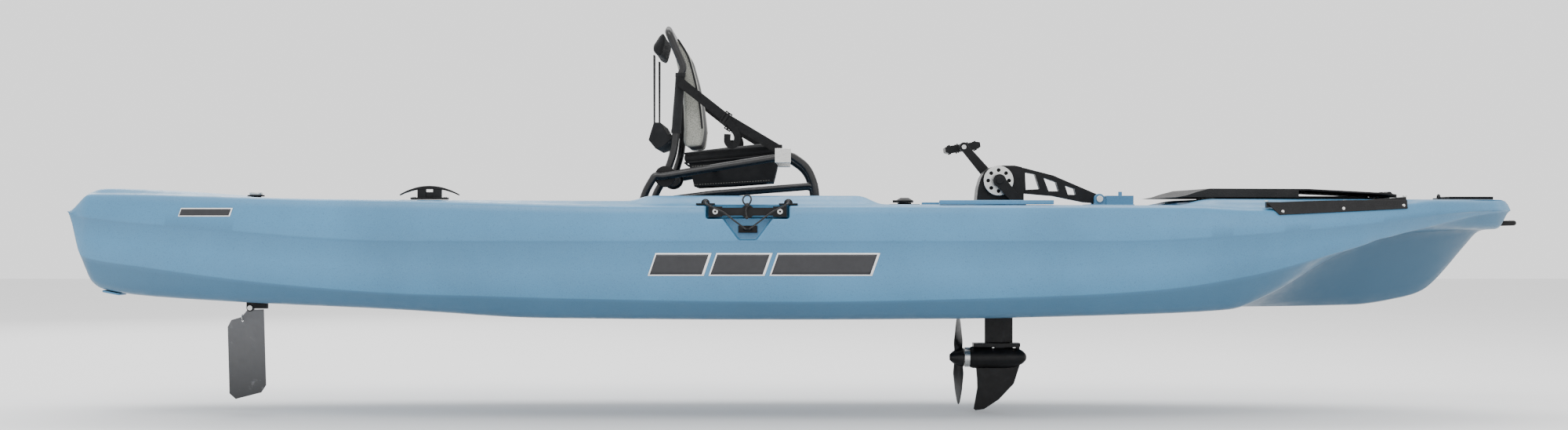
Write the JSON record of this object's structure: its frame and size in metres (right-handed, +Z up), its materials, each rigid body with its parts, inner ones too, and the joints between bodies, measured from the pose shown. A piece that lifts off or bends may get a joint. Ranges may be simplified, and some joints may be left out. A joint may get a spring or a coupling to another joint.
{
  "type": "pedal drive kayak",
  "caption": "Sit-on-top kayak with a pedal drive and propeller, a sliding framed seat, a steered lifting rudder and a hinged bow hatch.",
  "frame": {"origin": "amidships on the centreline, at the level of the lowest point of the pontoons, where a cradle or the water carries the hull", "axes": "+X towards the bow, +Y to port, +Z up"},
  "size_m": [3.8539, 0.9186, 1.029],
  "materials": {
    "black_plastic": "moulded, fine grain",
    "black_tube": "black anodised tube",
    "brass": "machined",
    "bright_steel": "brushed stainless",
    "cast_alloy": "cast, bead blasted",
    "dark_fabric": "woven polyester",
    "elastic": "braided elastic cord",
    "grey_fabric": "open mesh",
    "hull_plastic": "rotomoulded polyethylene, speckled",
    "lid_plastic": "pebble grain",
    "prop_plastic": "glass-filled nylon",
    "seal_rubber": "foam rubber",
    "webbing": "polypropylene webbing"
  },
  "bodies": {
    "hull": {"boat_hull": "hull_plastic", "skid_plates": "black_plastic", "bow_handle": "black_plastic", "bow_plate": "black_plastic", "bow_plate_inserts": "brass", "hatch_rim": "black_plastic", "hatch_seal": "seal_rubber", "hatch_hinge_pin": "bright_steel", "side_rails": "black_plastic", "side_handle_left": "black_plastic", "side_handle_right": "black_plastic", "deck_screws": "bright_steel", "pad_eyes": "black_plastic", "side_bungees": "elastic", "anchor_cleat": "black_plastic", "steering_base": "black_plastic", "gear_tracks": "black_plastic", "rudder_tube": "black_plastic", "seat_tracks": "cast_alloy", "drive_dock": "hull_plastic", "drive_pivot_pin": "bright_steel"},
    "hatch": {"hatch_lid": "lid_plastic"},
    "steering_dial": {"steering_knob": "black_plastic"},
    "rudder_post": {"rudder_stock": "bright_steel", "rudder_fork": "black_plastic", "rudder_pin": "bright_steel"},
    "rudder": {"rudder_blade": "black_plastic", "rudder_ring": "bright_steel"},
    "seat": {"seat_frame": "black_tube", "seat_feet": "black_plastic", "seat_knuckles": "black_plastic", "seat_brackets": "cast_alloy", "seat_cushion": "dark_fabric", "seat_skirt": "dark_fabric", "seat_straps": "webbing", "strap_buckles": "black_plastic"},
    "seat_back": {"back_frame": "black_tube", "back_sling": "grey_fabric", "back_bonnet": "dark_fabric", "back_tray": "dark_fabric", "back_bungees": "elastic"},
    "drive": {"drive_arm": "black_plastic", "drive_housing_left": "black_plastic", "drive_housing_right": "black_plastic", "drive_leg": "black_plastic", "gearcase": "cast_alloy", "flange_bolts": "bright_steel", "drive_bearings": "bright_steel", "prop_collar": "bright_steel"},
    "crank": {"crank_axle": "bright_steel", "crank_gear": "bright_steel", "crank_arms": "cast_alloy", "crank_discs": "bright_steel", "pedal_spindles": "bright_steel"},
    "left_pedal": {"pedal_left": "black_plastic"},
    "right_pedal": {"pedal_right": "black_plastic"},
    "drive_shaft": {"pinion_shaft": "bright_steel", "lower_gear": "bright_steel"},
    "propeller_assembly": {"prop_shaft": "bright_steel", "propeller": "prop_plastic"}
  },
  "joints": [
    {"name": "crank_spin", "type": "hinge", "parent": "drive", "child": "crank", "pos_m": [0.53, 0, 0.365], "axis": [0, 1, 0], "continuous": true},
    {"name": "left_pedal_spin", "type": "hinge", "parent": "crank", "child": "left_pedal", "pos_m": [0.44899, 0.172, 0.46019], "axis": [0, 1, 0], "continuous": true},
    {"name": "right_pedal_spin", "type": "hinge", "parent": "crank", "child": "right_pedal", "pos_m": [0.61101, -0.172, 0.26981], "axis": [0, 1, 0], "continuous": true},
    {"name": "shaft_spin", "type": "hinge", "parent": "drive", "child": "drive_shaft", "pos_m": [0.53, 0, 0.1], "axis": [0, 0, 1], "continuous": true},
    {"name": "propeller_spin", "type": "hinge", "parent": "drive", "child": "propeller_assembly", "pos_m": [0.432, 0, -0.113], "axis": [1, 0, 0], "continuous": true},
    {"name": "drive_lift", "type": "hinge", "parent": "hull", "child": "drive", "pos_m": [0.805, 0, 0.316], "axis": [0, 1, 0], "range_deg": [0, 28]},
    {"name": "rudder_steer", "type": "hinge", "parent": "hull", "child": "rudder_post", "pos_m": [-1.481, 0, 0.1], "axis": [0, 0, 1], "range_deg": [-35, 35]},
    {"name": "dial_turn", "type": "hinge", "parent": "hull", "child": "steering_dial", "pos_m": [0.3, 0.378, 0.306], "axis": [0, 0, 1], "range_deg": [-36, 36]},
    {"name": "rudder_lift", "type": "hinge", "parent": "rudder_post", "child": "rudder", "pos_m": [-1.496, 0, 0.021], "axis": [0, 1, 0], "range_deg": [0, 75]},
    {"name": "seat_slide", "type": "slide", "parent": "hull", "child": "seat", "axis": [1, 0, 0], "range_m": [-0.09, 0.055]},
    {"name": "seat_back_fold", "type": "hinge", "parent": "seat", "child": "seat_back", "pos_m": [-0.358, 0, 0.373], "axis": [0, 1, 0], "range_deg": [0, 35], "deforming": ["back_sling", "seat_straps"]},
    {"name": "hatch_swing", "type": "hinge", "parent": "hull", "child": "hatch", "pos_m": [1.574, 0, 0.327], "axis": [0, 1, 0], "range_deg": [0, 95]}
  ],
  "couplings": [
    {"joint": "shaft_spin", "follows": "crank_spin", "ratio": 4},
    {"joint": "propeller_spin", "follows": "crank_spin", "ratio": 10},
    {"joint": "dial_turn", "follows": "rudder_steer", "ratio": -1}
  ]
}
